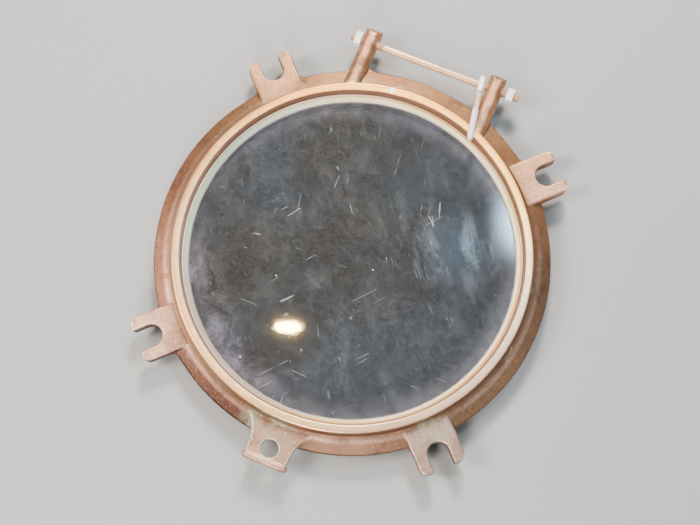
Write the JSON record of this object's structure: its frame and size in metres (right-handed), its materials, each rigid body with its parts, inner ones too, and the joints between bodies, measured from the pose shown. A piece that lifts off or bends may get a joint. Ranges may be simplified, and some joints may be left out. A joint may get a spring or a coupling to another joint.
{
  "type": "porthole opening light",
  "caption": "Round ship's porthole light: cast bronze ring with forked lugs, a holed lock lug and a glazed bore, hinge arms on a steel rod with nuts, and a loose eye bolt.",
  "frame": {"origin": "centre of the ring, in the plane of its back face", "axes": "+Z out of the front of the glass, +Y towards the hinge, +X along the hinge rod to its long threaded end"},
  "size_m": [0.3736, 0.4297, 0.0455],
  "materials": {
    "bronze": "cast, brown patina",
    "glass": "worn, dusty",
    "bedding": "aged",
    "pale_brass": "tarnished, pale",
    "seal_rubber": "matte",
    "steel": "zinc plated, worn"
  },
  "bodies": {
    "frame": {"frame": "bronze", "glass": "glass", "glass_bedding": "bedding", "retaining_ring": "pale_brass", "rim_plug": "steel", "seal_gasket": "seal_rubber"},
    "rod": {"hinge_rod": "steel", "left_nut": "steel", "right_nut": "steel"},
    "eyebolt": {"eyebolt": "steel"}
  },
  "joints": [
    {"name": "rod_spin", "type": "hinge", "parent": "frame", "child": "rod", "pos_m": [0, 0.2047, 0.024], "axis": [1, 0, 0], "continuous": true},
    {"name": "eyebolt_swing", "type": "hinge", "parent": "frame", "child": "eyebolt", "pos_m": [0, 0.2047, 0.024], "axis": [-1, 0, 0], "range_deg": [0, 270]}
  ]
}
